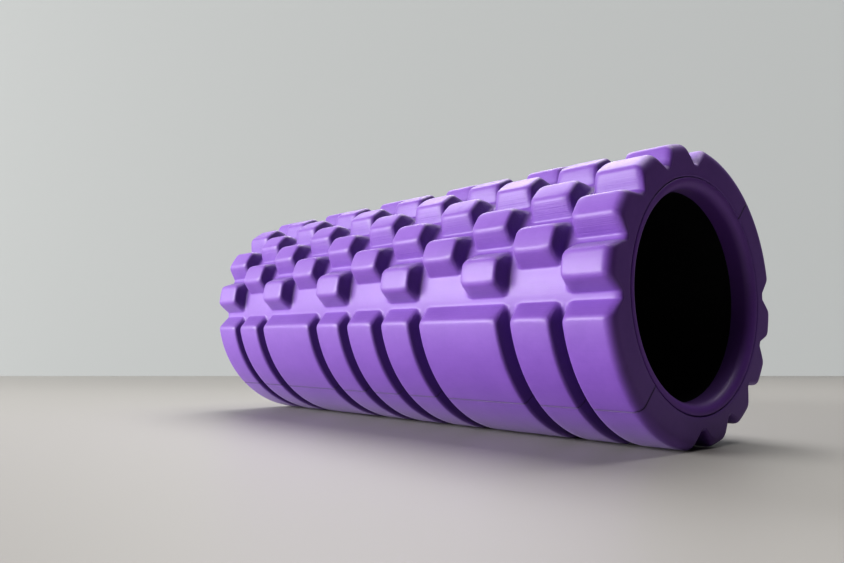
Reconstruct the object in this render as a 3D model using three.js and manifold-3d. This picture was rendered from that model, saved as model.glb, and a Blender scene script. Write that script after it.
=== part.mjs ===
// Hollow foam roller for massage, lying on its side on the floor.
//
// A rigid black tube carries a sleeve of closed-cell foam moulded as two half shells,
// and a foam ring closes the joint between tube and sleeve at each end.
// The roller's axis is parallel to +X, +Z is up, and the origin is on the floor below its middle.
// All lengths are in millimetres and all angles in degrees unless a name says otherwise.
// Angles around the axis are measured from +Y towards +Z.

import * as THREE from 'three';
import * as BufferGeometryUtils from 'three/addons/utils/BufferGeometryUtils.js';
import Module from 'manifold-3d';

const wasm = await Module();
wasm.setup();

// Overall size
const LENGTH = 332;
const CREST_RADIUS = 69;
const GROOVE_DEPTH = 8;

// Clearance left between pieces that are glued face to face on the real roller
const GLUE_GAP = 0.3;

// Tread grid along the axis: raised elements of one width on one pitch, counted from the middle
const ELEMENT_PITCH = 30.75;
const ELEMENT_WIDTH = 22.45;
const END_ELEMENT = 5;
const END_ELEMENT_WIDTH = 24.9;
const END_WALL_RUN = 1.8;

// Tread layout around the axis: two sectors of blocks and two of bands, opposite each other
const BAND_SECTOR_MIDDLE = 46;
const BLOCK_SECTOR_MIDDLE = 136;
const ROW_PITCH = 11.35;
const OUTER_ROW = 3;
const BLOCK_CREST_HALF = 4.95;
const BLOCK_WALL_TURN = 5.2;
const BAND_CREST_HALF = 37;
const BAND_WALL_TURN = 5.7;
const BAND_FACETS = 12;

// Core tube and end rings
const SLEEVE_BORE_RADIUS = 53.8;
const TUBE_WALL = 4;
const MOUTH_RADIUS = 47.4;
const RING_FLANGE_DEPTH = 6;
const RING_SPIGOT_LENGTH = 5;
const RING_LIP_RADIUS = 5;
const RING_LIP_STEPS = 4;
const ROUND_FACETS = 60;

const HALF_LENGTH = LENGTH / 2;
const FLOOR_RADIUS = CREST_RADIUS - GROOVE_DEPTH;
const TUBE_OUTER_RADIUS = SLEEVE_BORE_RADIUS - GLUE_GAP;
const TUBE_INNER_RADIUS = TUBE_OUTER_RADIUS - TUBE_WALL;
const TUBE_HALF_LENGTH = HALF_LENGTH - RING_FLANGE_DEPTH - GLUE_GAP;

const foamPurple = { color: 0x8a5fc4, roughness: 0.75, metalness: 0 };
const ringPurple = { color: 0x6f4aa3, roughness: 0.8, metalness: 0 };
const tubeBlack = { color: 0x101014, roughness: 0.5, metalness: 0 };

// Where the crest of one raised element begins and ends along the axis
function elementSpan(index) {
  const side = Math.sign(index);
  if (Math.abs(index) === END_ELEMENT) {
    const inner = side * (HALF_LENGTH - END_ELEMENT_WIDTH);
    const outer = side * HALF_LENGTH;
    return [Math.min(inner, outer), Math.max(inner, outer)];
  }
  const middle = index * ELEMENT_PITCH;
  return [middle - ELEMENT_WIDTH / 2, middle + ELEMENT_WIDTH / 2];
}

// The second and third elements from the middle are joined into one wide band on each side
function bandSpans() {
  const wide = [elementSpan(2)[0], elementSpan(3)[1]];
  const wideOpposite = [elementSpan(-3)[0], elementSpan(-2)[1]];
  return [wide, wideOpposite, ...[-5, -4, -1, 0, 1, 4, 5].map(elementSpan)];
}

// Neighbouring rows of blocks use every other element, so that they interlock like brickwork
function blockSpans(row) {
  const isOuterKind = Math.abs(row - OUTER_ROW) % 2 === 0;
  const indices = isOuterKind ? [-5, -3, -1, 1, 3, 5] : [-4, -2, 0, 2, 4];
  return indices.map(elementSpan);
}

// Raised share, from 0 at the groove floor to 1 at the crest, of a wall that ends at the crest
function wallShare(distancePastCrest, run) {
  return THREE.MathUtils.clamp(1 - distancePastCrest / run, 0, 1);
}

function axialShare(x, spans) {
  const shares = spans.map(([start, end]) => wallShare(Math.max(start - x, x - end), END_WALL_RUN));
  return Math.max(...shares);
}

// Signed turn from a sector's middle; the tread repeats after half a turn
function turnFrom(middle, angle) {
  return THREE.MathUtils.euclideanModulo(angle - middle + 90, 180) - 90;
}

function treadRadius(x, angle) {
  const pastBand = Math.abs(turnFrom(BAND_SECTOR_MIDDLE, angle)) - BAND_CREST_HALF;
  let share = Math.min(wallShare(pastBand, BAND_WALL_TURN), axialShare(x, bandSpans()));
  const blockTurn = turnFrom(BLOCK_SECTOR_MIDDLE, angle);
  for (let row = -OUTER_ROW; row <= OUTER_ROW; row += 1) {
    const pastRow = Math.abs(blockTurn - row * ROW_PITCH) - BLOCK_CREST_HALF;
    const rowShare = Math.min(wallShare(pastRow, BLOCK_WALL_TURN), axialShare(x, blockSpans(row)));
    share = Math.max(share, rowShare);
  }
  return FLOOR_RADIUS + GROOVE_DEPTH * share;
}

// Positions along the axis where the tread changes slope
function axialLines() {
  const lines = new Set([-HALF_LENGTH, HALF_LENGTH]);
  for (let index = -END_ELEMENT; index <= END_ELEMENT; index += 1) {
    const [start, end] = elementSpan(index);
    [start - END_WALL_RUN, start, end, end + END_WALL_RUN].forEach((x) => lines.add(x));
  }
  return [...lines].filter((x) => Math.abs(x) <= HALF_LENGTH).sort((a, b) => a - b);
}

// Angles where the tread changes slope, over one whole turn
function angularLines() {
  const half = [];
  for (const side of [-1, 1]) {
    half.push(BAND_SECTOR_MIDDLE + side * (BAND_CREST_HALF + BAND_WALL_TURN));
    for (let row = -OUTER_ROW; row <= OUTER_ROW; row += 1) {
      const crestEdge = BLOCK_SECTOR_MIDDLE + row * ROW_PITCH + side * BLOCK_CREST_HALF;
      half.push(crestEdge, crestEdge + side * BLOCK_WALL_TURN);
    }
  }
  for (let step = 0; step <= BAND_FACETS; step += 1) {
    half.push(BAND_SECTOR_MIDDLE + BAND_CREST_HALF * (2 * step / BAND_FACETS - 1));
  }
  return [...half, ...half.map((angle) => angle + 180)].sort((a, b) => a - b);
}

function pointAt(x, radius, angle) {
  const turn = THREE.MathUtils.degToRad(angle);
  return [x, radius * Math.cos(turn), radius * Math.sin(turn)];
}

// Closed solid bounded by the tread and by two flat end discs
function treadPlug() {
  const xs = axialLines();
  const angles = angularLines();
  const positions = [];
  const indices = [];
  xs.forEach((x) => angles.forEach((angle) => positions.push(...pointAt(x, treadRadius(x, angle), angle))));
  const vertex = (i, j) => i * angles.length + (j % angles.length);
  for (let i = 0; i + 1 < xs.length; i += 1) {
    for (let j = 0; j < angles.length; j += 1) {
      const corners = [vertex(i, j), vertex(i + 1, j), vertex(i + 1, j + 1), vertex(i, j + 1)];
      indices.push(...splitQuad(corners, treadRadiusInCell(xs, angles, i, j), positions));
    }
  }
  const lowCentre = positions.length / 3;
  positions.push(-HALF_LENGTH, 0, 0, HALF_LENGTH, 0, 0);
  for (let j = 0; j < angles.length; j += 1) {
    indices.push(lowCentre, vertex(0, j + 1), vertex(0, j));
    indices.push(lowCentre + 1, vertex(xs.length - 1, j), vertex(xs.length - 1, j + 1));
  }
  return solidFrom(positions, indices);
}

function treadRadiusInCell(xs, angles, i, j) {
  const nextAngle = j + 1 < angles.length ? angles[j + 1] : angles[0] + 360;
  return treadRadius((xs[i] + xs[i + 1]) / 2, (angles[j] + nextAngle) / 2);
}

// Splits a tread cell along the diagonal whose middle is nearer to the true surface
function splitQuad([a, b, c, d], middleRadius, positions) {
  const radius = (v) => Math.hypot(positions[3 * v + 1], positions[3 * v + 2]);
  const errorAC = Math.abs((radius(a) + radius(c)) / 2 - middleRadius);
  const errorBD = Math.abs((radius(b) + radius(d)) / 2 - middleRadius);
  return errorAC <= errorBD ? [a, c, b, a, d, c] : [a, d, b, b, d, c];
}

function solidFrom(positions, indices) {
  const vertProperties = new Float32Array(positions);
  const triVerts = new Uint32Array(indices);
  return new wasm.Manifold(new wasm.Mesh({ numProp: 3, vertProperties, triVerts }));
}

function solidFromGeometry(geometry) {
  geometry.deleteAttribute('normal');
  geometry.deleteAttribute('uv');
  const merged = BufferGeometryUtils.mergeVertices(geometry, 1e-4);
  return solidFrom(merged.attributes.position.array, merged.index.array);
}

function geometryFromSolid(solid) {
  const { vertProperties, triVerts } = solid.getMesh();
  const geometry = new THREE.BufferGeometry();
  geometry.setAttribute('position', new THREE.BufferAttribute(new Float32Array(vertProperties), 3));
  geometry.setIndex(new THREE.BufferAttribute(new Uint32Array(triVerts), 1));
  return geometry;
}

function boreSolid() {
  const bore = new THREE.CylinderGeometry(
    SLEEVE_BORE_RADIUS, SLEEVE_BORE_RADIUS, 2 * LENGTH, ROUND_FACETS,
  );
  bore.rotateZ(-Math.PI / 2);
  return solidFromGeometry(bore);
}

// Box that covers one side of the parting plane through the middle of both band sectors
function sideOfPartingPlane(side) {
  const reach = 2 * CREST_RADIUS;
  const box = new THREE.BoxGeometry(2 * LENGTH, 2 * reach, reach);
  box.translate(0, 0, side * (reach + GLUE_GAP) / 2);
  box.rotateX(THREE.MathUtils.degToRad(BAND_SECTOR_MIDDLE));
  return solidFromGeometry(box);
}

function sleeveShell(sleeve, side) {
  return geometryFromSolid(sleeve.intersect(sideOfPartingPlane(side)));
}

// Turns a closed outline of [radius, x] points about the roller's axis
function ringAboutAxis(outline) {
  const closed = [...outline, outline[0]];
  const lathe = new THREE.LatheGeometry(closed.map(([r, x]) => new THREE.Vector2(r, x)), ROUND_FACETS);
  lathe.rotateZ(-Math.PI / 2);
  return geometryFromSolid(solidFromGeometry(lathe));
}

function coreTube() {
  return ringAboutAxis([
    [TUBE_INNER_RADIUS, -TUBE_HALF_LENGTH],
    [TUBE_OUTER_RADIUS, -TUBE_HALF_LENGTH],
    [TUBE_OUTER_RADIUS, TUBE_HALF_LENGTH],
    [TUBE_INNER_RADIUS, TUBE_HALF_LENGTH],
  ]);
}

// Ring with a flange over the tube's end, a spigot inside it and a rounded lip at the mouth
function endRing() {
  const flangeBack = HALF_LENGTH - RING_FLANGE_DEPTH;
  const spigotEnd = flangeBack - RING_SPIGOT_LENGTH;
  const spigotRadius = TUBE_INNER_RADIUS - GLUE_GAP;
  const outline = [
    [MOUTH_RADIUS, spigotEnd],
    [spigotRadius, spigotEnd],
    [spigotRadius, flangeBack],
    [TUBE_OUTER_RADIUS, flangeBack],
    [TUBE_OUTER_RADIUS, HALF_LENGTH],
  ];
  for (let step = 0; step <= RING_LIP_STEPS; step += 1) {
    const turn = Math.PI / 2 * step / RING_LIP_STEPS;
    outline.push([
      MOUTH_RADIUS + RING_LIP_RADIUS * (1 - Math.sin(turn)),
      HALF_LENGTH - RING_LIP_RADIUS * (1 - Math.cos(turn)),
    ]);
  }
  return ringAboutAxis(outline);
}

function piece(name, geometry, finish) {
  const mesh = new THREE.Mesh(geometry, new THREE.MeshStandardMaterial(finish));
  mesh.name = name;
  return mesh;
}

// Height of the axis above the floor when the tread touches it
function axisHeight(shells) {
  const lowest = shells.map((shell) => {
    shell.geometry.computeBoundingBox();
    return shell.geometry.boundingBox.min.z;
  });
  return -Math.min(...lowest);
}

const sleeve = treadPlug().subtract(boreSolid());
const upperShell = piece('foam_shell_upper', sleeveShell(sleeve, 1), foamPurple);
const lowerShell = piece('foam_shell_lower', sleeveShell(sleeve, -1), foamPurple);
const tube = piece('core_tube', coreTube(), tubeBlack);
const nearRing = piece('end_ring_near', endRing(), ringPurple);
const farRing = piece('end_ring_far', endRing(), ringPurple);
farRing.rotation.z = Math.PI;

const roller = new THREE.Group();
roller.add(upperShell, lowerShell, tube, nearRing, farRing);
roller.position.z = axisHeight([upperShell, lowerShell]);

export default roller;
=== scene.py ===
import math

import bpy
import numpy as np
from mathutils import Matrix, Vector


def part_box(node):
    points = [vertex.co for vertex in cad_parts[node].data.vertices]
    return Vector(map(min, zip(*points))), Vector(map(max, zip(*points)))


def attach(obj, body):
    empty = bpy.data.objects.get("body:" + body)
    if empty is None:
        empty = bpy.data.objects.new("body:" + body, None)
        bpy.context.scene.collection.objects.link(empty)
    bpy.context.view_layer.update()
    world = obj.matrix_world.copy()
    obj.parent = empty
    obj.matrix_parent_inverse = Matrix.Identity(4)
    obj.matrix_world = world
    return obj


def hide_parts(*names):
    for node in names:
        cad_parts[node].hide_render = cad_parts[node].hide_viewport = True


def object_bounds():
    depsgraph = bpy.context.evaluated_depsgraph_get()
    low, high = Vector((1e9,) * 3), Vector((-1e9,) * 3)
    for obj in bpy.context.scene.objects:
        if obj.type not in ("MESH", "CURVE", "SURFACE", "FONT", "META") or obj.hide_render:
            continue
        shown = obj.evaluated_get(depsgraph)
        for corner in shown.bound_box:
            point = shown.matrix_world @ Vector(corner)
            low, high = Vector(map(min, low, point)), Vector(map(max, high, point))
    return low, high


# A foam roller lying on its side: two moulded foam half shells, a foam ring in each end
# and a black core tube.
# The geometry functions work in millimetres; build_mesh turns their points into metres.
# Angles around the roller's axis are in degrees, from +Y towards +Z.

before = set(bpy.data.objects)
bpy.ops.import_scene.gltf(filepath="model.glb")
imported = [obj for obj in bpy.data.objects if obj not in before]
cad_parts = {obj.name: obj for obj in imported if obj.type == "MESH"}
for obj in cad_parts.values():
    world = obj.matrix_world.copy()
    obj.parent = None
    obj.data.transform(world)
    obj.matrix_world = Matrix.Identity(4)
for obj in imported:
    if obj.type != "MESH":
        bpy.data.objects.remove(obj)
cad_low, cad_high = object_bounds()
tube_low, tube_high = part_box("core_tube")
MM = 0.001
AXIS_Y = (tube_low.y + tube_high.y) / 2 / MM
AXIS_Z = (tube_low.z + tube_high.z) / 2 / MM
HALF_LENGTH = cad_high.x / MM
TUBE_OUTER = (tube_high.z - tube_low.z) / 2 / MM
TUBE_HALF_LENGTH = tube_high.x / MM
TUBE_WALL = 4.0
TUBE_INNER = TUBE_OUTER - TUBE_WALL

# Tread, as in the CAD part: eleven elements along the axis, numbered from -END_INDEX to END_INDEX.
# Sizes along the axis are in mm, and the BAND_, BLOCK_ and ROW_PITCH values are in degrees.
CREST = 69.0
DEPTH = 8.0
PITCH = 30.75
WIDTH = 22.45
END_WIDTH = 24.9
END_INDEX = 5
PAST_END = 30
WALL_X = 1.8
BAND_MIDDLE = 46.0
BAND_HALF = 37.0
BAND_WALL = 5.7
BLOCK_MIDDLE = 136.0
BLOCK_HALF = 4.95
BLOCK_WALL = 5.2
ROW_PITCH = 11.35
OUTER_ROW = 3
HALF_TURN = 180
MM_PER_DEG = CREST * math.pi / 180

# Roundings of the moulded foam
WALL_CREST_FILLET = 2.1
BLOCK_CREST_FILLET = 3.8
BAND_CREST_FILLET = 3.6
BASE_FILLET = 1.6
CORNER = 3.6
END_FILLET = 4.6
END_FLOOR_FILLET = 2.2
BORE = TUBE_OUTER + 0.35
BORE_EDGE = 0.7
SEAM_EDGE = 0.16
SEAM_GAP_DEG = 0.07

# Mesh lines: the largest and smallest gap along the axis in mm and around it in degrees,
# lines beside the seam in mm, and rows of the end's roundings and flat face
AXIAL_GAPS = (2.6, 0.12)
ANGULAR_GAPS = (1.4, 0.09)
SEAM_LINES = (0.08, 0.2, 0.4, 0.7, 1.2)
CREST_STEPS = 5
BASE_STEPS = 3
LONG_WALL = 2.5
BORE_ROWS = 24
END_TURNS = np.radians(np.arange(1, 9) * 11.25)[:, None]
BORE_TURNS = np.radians(np.arange(1, 5) * 22.5)[:, None]
FACE_SHARES = np.array([0.12, 0.3, 0.55, 0.8, 1.0])[:, None]

# How far past its crest edge in mm, and past its wall in degrees, an element's height is worked out
REACH_MM = 6
REACH_DEG = 3

# Painted shade on the foam: a dark line along the seam, and darker walls whose slope comes near STEEP
SEAM_SHADE_MM = 0.45
WALL_SHADE = 0.6
STEEP = 3

# End ring
RING_MOUTH = 48.3
RING_LIP = 4.6
RING_FLANGE = 6.0
RING_SPIGOT_END = 11.0
RING_EDGE = 0.45
RING_MOUTH_EDGE = 0.4
RING_BACK_EDGE = 0.3
GLUE_GAP = 0.3
TUBE_CHAMFER = 0.6
LATHE_SEGMENTS = 192

# Camera, at the photo's angle; lens in mm, place in metres
CAMERA_LENS = 33.711
CAMERA_PLACE = (0.35052, -0.32746, 0.04789)
CAMERA_LOOK = Vector((-0.75077, 0.65620, 0.07581))


def link_object(name, data):
    thing = bpy.data.objects.new(name, data)
    bpy.context.scene.collection.objects.link(thing)
    return thing


def aim(thing, direction):
    thing.rotation_mode = "QUATERNION"
    thing.rotation_quaternion = direction.to_track_quat("-Z", "Y")


def add_camera():
    data = bpy.data.cameras.new("camera")
    data.lens = CAMERA_LENS
    data.sensor_width = 36.0
    data.sensor_fit = "HORIZONTAL"
    data.clip_start = 0.01
    data.clip_end = 50
    camera = link_object("camera", data)
    camera.location = CAMERA_PLACE
    aim(camera, CAMERA_LOOK)
    bpy.context.scene.camera = camera


add_camera()


# Tread layout
def element_span(index):
    """Crest edges of one element along the axis; an end element runs on past the end of the foam."""
    if abs(index) == END_INDEX:
        inner, outer = HALF_LENGTH - END_WIDTH, HALF_LENGTH + PAST_END
        return (inner, outer) if index > 0 else (-outer, -inner)
    return index * PITCH - WIDTH / 2, index * PITCH + WIDTH / 2


def pads():
    """Raised elements: (x start, x end, first angle, last angle, wall in degrees, crest rounding)."""
    found = []
    wide = [(element_span(-3)[0], element_span(-2)[1]), (element_span(2)[0], element_span(3)[1])]
    for x0, x1 in wide + [element_span(i) for i in (-5, -4, -1, 0, 1, 4, 5)]:
        for middle in (BAND_MIDDLE, BAND_MIDDLE + HALF_TURN):
            found.append((x0, x1, middle - BAND_HALF, middle + BAND_HALF, BAND_WALL, BAND_CREST_FILLET))
    for row in range(-OUTER_ROW, OUTER_ROW + 1):
        indices = (-5, -3, -1, 1, 3, 5) if (row - OUTER_ROW) % 2 == 0 else (-4, -2, 0, 2, 4)
        middle = BLOCK_MIDDLE + row * ROW_PITCH
        for x0, x1 in map(element_span, indices):
            found.append((x0, x1, middle - BLOCK_HALF, middle + BLOCK_HALF, BLOCK_WALL, BLOCK_CREST_FILLET))
    return found


def profile_height(d, w, crest):
    """Height above the groove floor, d past the crest edge of a wall that runs w outwards.

    The edge at the top of the wall is rounded by crest and the one at its foot by BASE_FILLET.
    """
    slope = np.arctan2(DEPTH, w)
    t1 = crest * np.tan(slope / 2)
    t2 = BASE_FILLET * np.tan(slope / 2)
    top = DEPTH - crest + np.sqrt(np.clip(crest**2 - (d + t1) ** 2, 0, None))
    wall = DEPTH * (1 - d / w)
    base = BASE_FILLET - np.sqrt(np.clip(BASE_FILLET**2 - (w + t2 - d) ** 2, 0, None))
    height = np.where(d < -t1, DEPTH, top)
    height = np.where(d > t1 * np.cos(slope), wall, height)
    height = np.where(d > w - t2 * np.cos(slope), base, height)
    return np.where(d > w + t2, 0.0, height)


def pad_height(x, s, x0, x1, s0, s1, wall_s, crest_s):
    """Height of one raised element with rounded corners; x along the axis, s around it, both in mm."""
    u = np.abs(x - (x0 + x1) / 2) - (x1 - x0) / 2
    v = np.abs(s - (s0 + s1) / 2) - (s1 - s0) / 2
    a, b = u + CORNER, v + CORNER
    # outside, the corner's wall is a cone whose run changes from WALL_X to wall_s
    p = a * WALL_X + b * wall_s
    q = WALL_X**2 + wall_s**2
    inside_root = p**2 - q * (a**2 + b**2 - CORNER**2)
    share = (p - np.sqrt(np.clip(inside_root, 0, None))) / q
    nx, ns = a - share * WALL_X, b - share * wall_s
    corner = (inside_root >= 0) & (nx > 0) & (ns > 0)
    nx, ns = np.where(corner, nx, 0) / CORNER, np.where(corner, ns, 0) / CORNER
    run_corner = WALL_X * nx + wall_s * ns
    along_x = u / WALL_X > v / wall_s
    d_out = np.where(corner, share * run_corner, np.where(along_x, u, v))
    run_out = np.where(corner, run_corner, np.where(along_x, WALL_X, wall_s))
    # inside the crest outline the true distance to it is used, with the wall met there
    in_corner = (a > 0) & (b > 0)
    reach = np.maximum(np.hypot(a, b), 1e-9)
    d_in = np.where(in_corner, reach - CORNER, np.maximum(u, v))
    run_in = np.where(in_corner, (WALL_X * np.maximum(a, 0) + wall_s * np.maximum(b, 0)) / reach,
                      np.where(u > v, WALL_X, wall_s))
    inside = d_in < 0
    run = np.clip(np.where(inside, run_in, run_out), WALL_X, None)
    crest = WALL_CREST_FILLET + (crest_s - WALL_CREST_FILLET) * (run - WALL_X) / (wall_s - WALL_X)
    return profile_height(np.where(inside, d_in, d_out), run, crest)


# Mesh lines
def fillet_offsets(run, crest):
    """Distances past a crest edge at which mesh lines follow the crest and base roundings."""
    slope = math.atan2(DEPTH, run)
    t1 = crest * math.tan(slope / 2)
    t2 = BASE_FILLET * math.tan(slope / 2)
    top = [-t1 + crest * math.sin(slope * k / CREST_STEPS) for k in range(CREST_STEPS + 1)]
    base = [run + t2 - BASE_FILLET * math.sin(slope * k / BASE_STEPS) for k in range(BASE_STEPS, -1, -1)]
    span = base[0] - top[-1]
    middle = [top[-1] + span * k / 3 for k in (1, 2)] if span > LONG_WALL else []
    return top + middle + base


def spread_lines(fixed, low, high, largest, smallest):
    """Sorted mesh lines from low to high: the fixed ones, thinned where they crowd, with wide gaps filled."""
    kept = [low]
    for v in sorted(v for v in set(fixed) if low < v < high):
        if v - kept[-1] >= smallest:
            kept.append(v)
    if high - kept[-1] < smallest:
        kept.pop()
    kept.append(high)
    filled = [kept[0]]
    for v in kept[1:]:
        start = filled[-1]
        steps = math.ceil((v - start) / largest)
        filled += [start + (v - start) * k / steps for k in range(1, steps + 1)]
    return np.array(filled)


def axial_lines():
    fixed = []
    offsets = fillet_offsets(WALL_X, WALL_CREST_FILLET)
    for index in range(-END_INDEX, END_INDEX + 1):
        x0, x1 = element_span(index)
        for offset in offsets:
            fixed += [x0 - offset, x1 + offset]
    edge = HALF_LENGTH - END_FILLET
    return spread_lines(fixed, -edge, edge, *AXIAL_GAPS)


def angular_lines():
    fixed = []
    block_offsets = [o / MM_PER_DEG for o in fillet_offsets(BLOCK_WALL * MM_PER_DEG, BLOCK_CREST_FILLET)]
    band_offsets = [o / MM_PER_DEG for o in fillet_offsets(BAND_WALL * MM_PER_DEG, BAND_CREST_FILLET)]
    for row in range(-OUTER_ROW, OUTER_ROW + 1):
        middle = BLOCK_MIDDLE + row * ROW_PITCH
        for o in block_offsets:
            fixed += [middle - BLOCK_HALF - o, middle + BLOCK_HALF + o]
    for o in band_offsets:
        fixed += [BAND_MIDDLE + BAND_HALF + o, BAND_MIDDLE + HALF_TURN - BAND_HALF - o]
    start, end = BAND_MIDDLE + SEAM_GAP_DEG, BAND_MIDDLE + HALF_TURN - SEAM_GAP_DEG
    for t in SEAM_LINES:
        fixed += [start + t / MM_PER_DEG, end - t / MM_PER_DEG]
    return spread_lines(fixed, start, end, *ANGULAR_GAPS)


# Meshes
def build_mesh(name, points_mm, quads, caps=(), attributes=None):
    """A mesh object from an array of points, an array of quads and lists of cap polygons."""
    mesh = bpy.data.meshes.new(name)
    points = np.asarray(points_mm, float) * MM
    loops = np.concatenate([quads.ravel()] + [np.array(c, np.int64) for c in caps])
    sizes = np.concatenate([np.full(len(quads), 4), np.array([len(c) for c in caps], np.int64)])
    starts = np.concatenate([[0], np.cumsum(sizes)[:-1]])
    mesh.vertices.add(len(points))
    mesh.vertices.foreach_set("co", points.astype(np.float32).ravel())
    mesh.loops.add(len(loops))
    mesh.loops.foreach_set("vertex_index", loops.astype(np.int32))
    mesh.polygons.add(len(sizes))
    mesh.polygons.foreach_set("loop_start", starts.astype(np.int32))
    mesh.polygons.foreach_set("loop_total", sizes.astype(np.int32))
    smooth = np.ones(len(sizes), bool)
    smooth[len(quads):] = False
    mesh.polygons.foreach_set("use_smooth", smooth)
    for key, values in (attributes or {}).items():
        is_vector = values.ndim == 2
        layer = mesh.attributes.new(key, "FLOAT_VECTOR" if is_vector else "FLOAT", "POINT")
        layer.data.foreach_set("vector" if is_vector else "value", values.astype(np.float32).ravel())
    mesh.update(calc_edges=True)
    mesh.validate()
    return link_object(name, mesh)


def tread_heights(xs, angles):
    """Height of the tread above the groove floor where the mesh lines cross."""
    x, angle = np.meshgrid(xs, angles, indexing="ij")
    s = angle * MM_PER_DEG
    height = np.zeros_like(x)
    for x0, x1, a0, a1, wall, crest in pads():
        near_x = (xs > x0 - REACH_MM) & (xs < x1 + REACH_MM)
        near_a = (angles > a0 - wall - REACH_DEG) & (angles < a1 + wall + REACH_DEG)
        if near_x.any() and near_a.any():
            part = np.ix_(near_x, near_a)
            h = pad_height(x[part], s[part], x0, x1, a0 * MM_PER_DEG, a1 * MM_PER_DEG,
                           wall * MM_PER_DEG, crest)
            height[part] = np.maximum(height[part], h)
    return height


def end_rows(edge_height, seam):
    """Rows of x, radius and raised share over one end, from its outer rounding to the bore's edge."""
    raised = edge_height[None, :] / DEPTH
    radius = END_FLOOR_FILLET + (END_FILLET - END_FLOOR_FILLET) * raised
    turned_x = HALF_LENGTH - END_FILLET + (END_FILLET - seam) * np.sin(END_TURNS)
    turned_r = (CREST - DEPTH + edge_height[None, :] - radius * (1 - np.cos(END_TURNS))
                - seam * np.cos(END_TURNS))
    inner = BORE + BORE_EDGE
    face_r = turned_r[-1] + (inner - turned_r[-1]) * FACE_SHARES
    face_x = np.full_like(face_r, HALF_LENGTH) - seam
    bore_x = HALF_LENGTH - BORE_EDGE * (1 - np.cos(BORE_TURNS)) - seam * np.cos(BORE_TURNS)
    bore_r = np.broadcast_to(inner - BORE_EDGE * np.sin(BORE_TURNS), bore_x.shape)
    rows_x = np.vstack([turned_x, face_x, bore_x])
    rows_r = np.vstack([turned_r, face_r, bore_r])
    flat_raised = np.ones((len(face_r) + len(bore_r), edge_height.size))
    return rows_x, rows_r, np.vstack([np.repeat(raised, len(END_TURNS), 0), flat_raised])


def half_shell(name, turn):
    """One foam half shell, turned about the axis by a number of degrees."""
    xs, angles = axial_lines(), angular_lines()
    columns = len(angles)
    height = tread_heights(xs, angles)
    # the foam is rounded along its two parting edges
    from_seam = np.minimum(angles - angles[0], angles[-1] - angles) * MM_PER_DEG
    short = np.clip(SEAM_EDGE - from_seam, 0, SEAM_EDGE)
    seam = (SEAM_EDGE - np.sqrt(SEAM_EDGE**2 - short**2))[None, :]

    # the section runs along the tread, over the +X end, back through the bore and over the -X end
    near_x, near_r, near_raised = end_rows(height[-1], seam)
    far_x, far_r, far_raised = end_rows(height[0], seam)
    bore_end = HALF_LENGTH - BORE_EDGE
    bore_x = np.linspace(bore_end, -bore_end, BORE_ROWS + 2)[1:-1]
    bore_shape = (BORE_ROWS, columns)
    grid_x = np.vstack([np.repeat(xs[:, None], columns, 1), near_x,
                        np.repeat(bore_x[:, None], columns, 1), -far_x[::-1]])
    grid_r = np.vstack([CREST - DEPTH + height - seam, near_r, np.full(bore_shape, BORE), far_r[::-1]])
    raised = np.vstack([height / DEPTH, near_raised, np.zeros(bore_shape), far_raised[::-1]])
    grid_a = np.repeat((angles + turn)[None, :], len(grid_x), 0)
    # painted shade mask: a dark line along each parting edge, and the steep axial walls darkened
    groove = np.repeat(np.exp(-(from_seam / SEAM_SHADE_MM) ** 2)[None, :], len(grid_x), 0)
    steep = np.clip(np.abs(np.gradient(height, xs, axis=0)) / STEEP, 0, 1)
    groove[:len(xs)] = np.maximum(groove[:len(xs)], WALL_SHADE * steep)

    a = np.radians(grid_a)
    points = np.stack([grid_x, AXIS_Y + grid_r * np.cos(a), AXIS_Z + grid_r * np.sin(a)], -1)
    index = np.arange(grid_x.size).reshape(grid_x.shape)
    following = np.roll(index, -1, axis=0)
    quads = np.stack([index[:, :-1], index[:, 1:], following[:, 1:], following[:, :-1]], -1).reshape(-1, 4)
    caps = [list(index[:, 0]), list(index[::-1, -1])]
    unrolled = np.stack([grid_x, grid_a * MM_PER_DEG, grid_r], -1).reshape(-1, 3)
    return build_mesh(name, points.reshape(-1, 3), quads, caps,
                      {"raised": raised.ravel(), "groove": groove.ravel(), "unrolled": unrolled})


def lathe(name, outline, turn_half=False):
    """A ring about the roller's axis from a closed outline of (radius, x) points."""
    outline = np.array(outline)
    shape = (len(outline), LATHE_SEGMENTS)
    turns = np.radians(np.arange(LATHE_SEGMENTS) * 360 / LATHE_SEGMENTS)
    r, x = outline[:, 0][:, None], outline[:, 1][:, None]
    side = -1 if turn_half else 1
    points = np.stack([np.broadcast_to(side * x, shape),
                       AXIS_Y + side * r * np.cos(turns), AXIS_Z + r * np.sin(turns)], -1)
    index = np.arange(r.size * LATHE_SEGMENTS).reshape(shape)
    following = np.roll(index, -1, axis=0)
    quads = np.stack([index, np.roll(index, -1, axis=1), np.roll(following, -1, axis=1), following], -1)
    unrolled = np.stack(np.broadcast_arrays(x, turns * CREST, r), -1).reshape(-1, 3)
    return build_mesh(name, points.reshape(-1, 3), quads.reshape(-1, 4), (), {"unrolled": unrolled})


def arc(centre_r, centre_x, radius, start, end, steps):
    """Points (radius, x) on an arc; angle 0 points outwards and 90 towards +X."""
    turns = [math.radians(start + (end - start) * k / steps) for k in range(steps + 1)]
    return [(centre_r + radius * math.cos(t), centre_x + radius * math.sin(t)) for t in turns]


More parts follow.
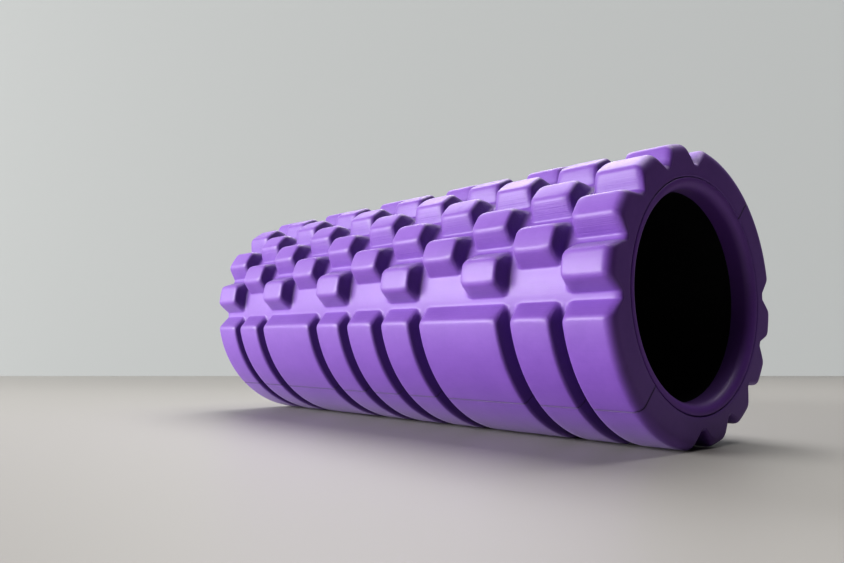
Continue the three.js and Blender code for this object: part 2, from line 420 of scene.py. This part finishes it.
def ring_outline():
    """The near end ring: a flange over the tube's end, a rounded mouth and a spigot inside the tube."""
    outer, face = TUBE_OUTER, HALF_LENGTH
    back, spigot = HALF_LENGTH - RING_FLANGE, TUBE_INNER - GLUE_GAP
    end = HALF_LENGTH - RING_SPIGOT_END
    below_lip, above_end, on_rim = face - 7, end + 1.2, back + 2.5
    outline = arc(outer - RING_EDGE, face - RING_EDGE, RING_EDGE, 0, 90, 4)
    outline += arc(RING_MOUTH + RING_LIP, face - RING_LIP, RING_LIP, 90, 180, 10)
    outline += [(RING_MOUTH, below_lip), (RING_MOUTH, above_end)]
    outline += arc(RING_MOUTH + RING_MOUTH_EDGE, end + RING_MOUTH_EDGE, RING_MOUTH_EDGE, 180, 270, 3)
    outline += arc(spigot - RING_BACK_EDGE, end + RING_BACK_EDGE, RING_BACK_EDGE, -90, 0, 2)
    outline += [(spigot, back - RING_BACK_EDGE), (spigot, back), (spigot + RING_BACK_EDGE, back)]
    outline += [(outer - RING_BACK_EDGE, back), (outer, back + RING_BACK_EDGE), (outer, on_rim)]
    return outline


def tube_outline():
    end, c = TUBE_HALF_LENGTH, TUBE_CHAMFER
    near_end, long_part = [end - 4, end - 12], end - 40
    xs = near_end + list(np.linspace(long_part, -long_part, 7)) + [-x for x in reversed(near_end)]
    outline = [(TUBE_OUTER, x) for x in reversed(xs)]
    outline += [(TUBE_OUTER, end - c), (TUBE_OUTER - c, end), (TUBE_INNER + c, end), (TUBE_INNER, end - c)]
    outline += [(TUBE_INNER, x) for x in xs]
    outline += [(TUBE_INNER, -end + c), (TUBE_INNER + c, -end)]
    outline += [(TUBE_OUTER - c, -end), (TUBE_OUTER, -end + c)]
    return outline


# Materials
class Graph:
    """The nodes of one material, with a Principled shader joined to its output."""

    def __init__(self, name):
        self.material = bpy.data.materials.new(name)
        self.material.use_nodes = True
        self.nodes, self.links = self.material.node_tree.nodes, self.material.node_tree.links
        self.nodes.clear()
        output = self.nodes.new("ShaderNodeOutputMaterial")
        self.shader = self.nodes.new("ShaderNodeBsdfPrincipled")
        self.links.new(self.shader.outputs["BSDF"], output.inputs["Surface"])

    def set(self, key, value):
        """Gives a shader input a uniform value or the output of a node."""
        if hasattr(value, "is_output"):
            self.links.new(value, self.shader.inputs[key])
        else:
            self.shader.inputs[key].default_value = value

    def object_coordinates(self):
        return self.nodes.new("ShaderNodeTexCoord").outputs["Object"]

    def attribute(self, name, output):
        node = self.nodes.new("ShaderNodeAttribute")
        node.attribute_name = name
        return node.outputs[output]

    def noise(self, vector, scale, detail=2.0, roughness=0.5):
        node = self.nodes.new("ShaderNodeTexNoise")
        for key, value in (("Scale", scale), ("Detail", detail), ("Roughness", roughness)):
            node.inputs[key].default_value = value
        self.links.new(vector, node.inputs["Vector"])
        return node.outputs["Fac"]

    def cells(self, vector, scale):
        node = self.nodes.new("ShaderNodeTexVoronoi")
        node.inputs["Scale"].default_value = scale
        self.links.new(vector, node.inputs["Vector"])
        return node

    def scaled(self, vector, factors):
        node = self.nodes.new("ShaderNodeVectorMath")
        node.operation = "MULTIPLY"
        node.inputs[1].default_value = factors
        self.links.new(vector, node.inputs[0])
        return node.outputs["Vector"]

    def split(self, kind, value, source, wanted):
        node = self.nodes.new(kind)
        self.links.new(value, node.inputs[source])
        return node.outputs[wanted]

    def maths(self, operation, a, b, c=None):
        node = self.nodes.new("ShaderNodeMath")
        node.operation = operation
        for socket, value in zip(node.inputs, (a, b, c)):
            if hasattr(value, "is_output"):
                self.links.new(value, socket)
            elif value is not None:
                socket.default_value = value
        return node.outputs["Value"]

    def weighted(self, terms, rest):
        """The sum of each value times its weight, and rest."""
        for value, weight in reversed(terms):
            rest = self.maths("MULTIPLY_ADD", value, weight, rest)
        return rest

    def mix(self, factor, a, b):
        node = self.nodes.new("ShaderNodeMix")
        node.data_type = "RGBA"
        self.links.new(factor, node.inputs["Factor"])
        for key, value in (("A", a), ("B", b)):
            socket = [i for i in node.inputs if i.name == key and i.type == "RGBA"][0]
            if hasattr(value, "is_output"):
                self.links.new(value, socket)
            else:
                socket.default_value = (*value, 1)
        return [o for o in node.outputs if o.type == "RGBA"][0]

    def map_range(self, value, low, high, to_low, to_high):
        node = self.nodes.new("ShaderNodeMapRange")
        self.links.new(value, node.inputs["Value"])
        for key, number in (("From Min", low), ("From Max", high), ("To Min", to_low), ("To Max", to_high)):
            node.inputs[key].default_value = number
        return node.outputs["Result"]

    def bump(self, height, strength, distance):
        node = self.nodes.new("ShaderNodeBump")
        node.inputs["Strength"].default_value = strength
        node.inputs["Distance"].default_value = distance
        self.links.new(height, node.inputs["Height"])
        self.set("Normal", node.outputs["Normal"])


# Noise scales per metre, stretches of the unrolled surface per mm (x, around, radius), the painted shade of
# seams, walls and the ring's mouth, and the darkening of nicks
CLOUDS, MOTTLE, WAVES, GRAIN, PORES = 40, 420, 90, 900, 1500
DRAG_STRETCH = (0.025, 1.6, 1.6)
NICK_STRETCH = (0.022, 0.11, 0.06)
NICK_RARITY = 0.72
NICK_EDGE = (0.018, 0.034)
PAINTED_SHADE_DARK = 0.42
NICK_DARK = 0.3
# painted shade towards the ring's mouth, where the bore lies in shade: its strength, and the width in mm over
# which it fades
LIP_SHADE = 0.45
LIP_SHADE_MM = 1.8


def foam_material(name, base, light, rough, sheen, on_tread):
    graph = Graph(name)
    unrolled = graph.attribute("unrolled", "Vector")
    coordinates = graph.object_coordinates()
    mottle = graph.noise(coordinates, MOTTLE, 2, 0.6)
    drag = graph.noise(graph.scaled(unrolled, DRAG_STRETCH), 1.0, 3, 0.6)

    # colour: clouded, with painted shade in seams and on steep walls or towards the ring's mouth, and sparse
    # dark nicks
    tone = graph.weighted([(graph.noise(coordinates, CLOUDS, 5, 0.65), 0.55), (mottle, 0.25)],
                          graph.maths("MULTIPLY", drag, 0.2))
    colour = graph.mix(graph.map_range(tone, 0.36, 0.64, 0, 1), base, light)
    # painted shade mask: the seam and wall mask on the tread, and on the ring a darkening towards its mouth
    if on_tread:
        shade = graph.attribute("groove", "Fac")
    else:
        radius = graph.split("ShaderNodeSeparateXYZ", unrolled, "Vector", "Z")
        shade = graph.map_range(radius, RING_MOUTH + 0.1, RING_MOUTH + LIP_SHADE_MM, LIP_SHADE, 0)
    # painted shade: the colour is mixed towards a darker copy of the base where the shade mask is set
    colour = graph.mix(shade, colour, tuple(c * PAINTED_SHADE_DARK for c in base))
    nick_cells = graph.cells(graph.scaled(unrolled, NICK_STRETCH), 1.0)
    pick = graph.split("ShaderNodeSeparateColor", nick_cells.outputs["Color"], "Color", "Red")
    nick = graph.maths("MULTIPLY", graph.maths("GREATER_THAN", pick, NICK_RARITY),
                       graph.map_range(nick_cells.outputs["Distance"], *NICK_EDGE, 1, 0))
    graph.set("Base Color", graph.mix(graph.maths("MULTIPLY", nick, 0.85), colour,
                                      tuple(c * NICK_DARK for c in base)))

    graph.set("Roughness", graph.weighted([(drag, 0.10), (mottle, 0.08)], rough - 0.09))
    graph.set("IOR", 1.55)
    graph.set("Sheen Weight", sheen)
    graph.set("Sheen Roughness", 0.45)
    graph.set("Sheen Tint", (0.86, 0.78, 1.0, 1))
    graph.set("Coat Weight", 0.11)
    graph.set("Coat Roughness", 0.25)

    # bump: pores and grain everywhere, and drag lines that are strongest half way up a wall
    raised = graph.attribute("raised", "Fac")
    on_walls = graph.maths("MULTIPLY", raised, graph.maths("SUBTRACT", 1.0, raised))
    drag_height = graph.maths("MULTIPLY", drag, graph.maths("MULTIPLY_ADD", on_walls, 14.0, 0.4))
    height = graph.weighted([(graph.cells(coordinates, PORES).outputs["Distance"], 0.25),
                             (graph.noise(coordinates, GRAIN, 3, 0.65), 0.5),
                             (graph.noise(coordinates, WAVES), 1.2), (nick, -3.0)], drag_height)
    graph.bump(height, 0.42, 0.00012)
    return graph.material


def tube_material():
    graph = Graph("core_plastic")
    lines = graph.noise(graph.scaled(graph.attribute("unrolled", "Vector"), (0.01, 0.9, 0.9)), 1.0, 3, 0.6)
    dust = graph.map_range(graph.noise(graph.object_coordinates(), 60, 4, 0.6), 0.4, 0.7, 0, 1)
    graph.set("Base Color", graph.mix(dust, (0.0045, 0.0045, 0.006), (0.009, 0.009, 0.011)))
    graph.set("Roughness", graph.maths("MULTIPLY_ADD", lines, 0.2, 0.33))
    graph.bump(lines, 0.3, 0.0001)
    return graph.material


# Pieces
def finish_piece(piece, material, node):
    piece.data.materials.append(material)
    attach(piece, "root")
    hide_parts(node)


foam = foam_material("foam", (0.154, 0.053, 0.346), (0.182, 0.068, 0.390), 0.58, 0.18, True)
ring_foam = foam_material("end_ring_foam", (0.160, 0.045, 0.360), (0.188, 0.056, 0.408), 0.56, 0.12, False)
black = tube_material()

upper = half_shell("foam_shell_upper_soft", 0)
lower = half_shell("foam_shell_lower_soft", HALF_TURN)
near_ring = lathe("end_ring_near_soft", ring_outline())
far_ring = lathe("end_ring_far_soft", ring_outline(), turn_half=True)
tube = lathe("core_tube_smooth", tube_outline())

finish_piece(upper, foam, "foam_shell_upper")
finish_piece(lower, foam, "foam_shell_lower")
finish_piece(near_ring, ring_foam, "end_ring_near")
finish_piece(far_ring, ring_foam, "end_ring_far")
finish_piece(tube, black, "core_tube")

# Stage, in metres: a plain pale floor, and a wall that stands square to the camera's look
FLOOR_HALF = 4.0
FLOOR_COLOUR = (0.325, 0.312, 0.297)
WALL_COLOUR = (0.10, 0.102, 0.10)
WALL_GLOW = (0.372, 0.383, 0.380)
WALL_DISTANCE = 0.63
WALL_LEFT, WALL_RIGHT = 2.5, 0.85
WALL_BOTTOM, WALL_TOP = -0.01, 0.6


def stage_plane(name, corners, colour, rough, glow=None):
    mesh = bpy.data.meshes.new(name)
    mesh.from_pydata(corners, [], [list(range(len(corners)))])
    graph = Graph(name)
    patches = graph.noise(graph.object_coordinates(), 1.3, 2, 0.5)
    graph.set("Base Color", graph.mix(patches, tuple(c * 0.96 for c in colour), colour))
    graph.set("Roughness", rough)
    if glow:
        graph.set("Emission Color", (*glow, 1))
        graph.set("Emission Strength", 1.0)
    mesh.materials.append(graph.material)
    link_object(name, mesh)


def add_stage():
    signs = ((-1, -1), (1, -1), (1, 1), (-1, 1))
    stage_plane("floor", [(FLOOR_HALF * x, FLOOR_HALF * y, 0) for x, y in signs], FLOOR_COLOUR, 0.5)
    away = Vector((CAMERA_LOOK.x, CAMERA_LOOK.y, 0)).normalized()
    right = Vector((away.y, -away.x, 0))
    left_end = away * WALL_DISTANCE - right * WALL_LEFT
    right_end = away * WALL_DISTANCE + right * WALL_RIGHT
    stage_plane("wall", [(*left_end.xy, WALL_BOTTOM), (*right_end.xy, WALL_BOTTOM),
                         (*right_end.xy, WALL_TOP), (*left_end.xy, WALL_TOP)], WALL_COLOUR, 0.9, WALL_GLOW)


def area_light(name, place, target, size_x, size_y, power, colour):
    data = bpy.data.lights.new(name, "AREA")
    data.shape = "RECTANGLE"
    data.size = size_x
    data.size_y = size_y
    data.energy = power
    data.color = colour
    light = link_object(name, data)
    light.location = place
    aim(light, Vector(target) - Vector(place))


def add_world():
    """A weak even fill for the lighting, and a plain pale backdrop for the camera."""
    world = bpy.data.worlds.new("world")
    bpy.context.scene.world = world
    world.use_nodes = True
    nodes, links = world.node_tree.nodes, world.node_tree.links
    nodes.clear()
    mix = nodes.new("ShaderNodeMixShader")
    links.new(nodes.new("ShaderNodeLightPath").outputs["Is Camera Ray"], mix.inputs["Fac"])
    for socket, colour, strength in ((1, (0.60, 0.53, 0.49, 1), 0.026), (2, (0.55, 0.57, 0.57, 1), 1.0)):
        background = nodes.new("ShaderNodeBackground")
        background.inputs["Color"].default_value = colour
        background.inputs["Strength"].default_value = strength
        links.new(background.outputs["Background"], mix.inputs[socket])
    links.new(mix.outputs["Shader"], nodes.new("ShaderNodeOutputWorld").inputs["Surface"])


add_stage()
# a broad low window on the left, a ceiling light and a small high one behind
area_light("window", (-1.25, -2.00, 0.62), (0, 0, 0.06), 1.60, 0.95, 101, (0.99, 0.997, 0.985))
area_light("ceiling", (-0.10, 0.70, 2.1), (0, 0, 0), 1.6, 1.6, 42, (1.0, 0.985, 0.97))
area_light("high_window", (-0.95, 0.60, 1.25), (0, 0, 0.1), 1.0, 0.45, 12, (0.98, 0.99, 1.0))
add_world()
bpy.context.scene.view_settings.view_transform = "Standard"
bpy.context.scene.view_settings.look = "Medium High Contrast"
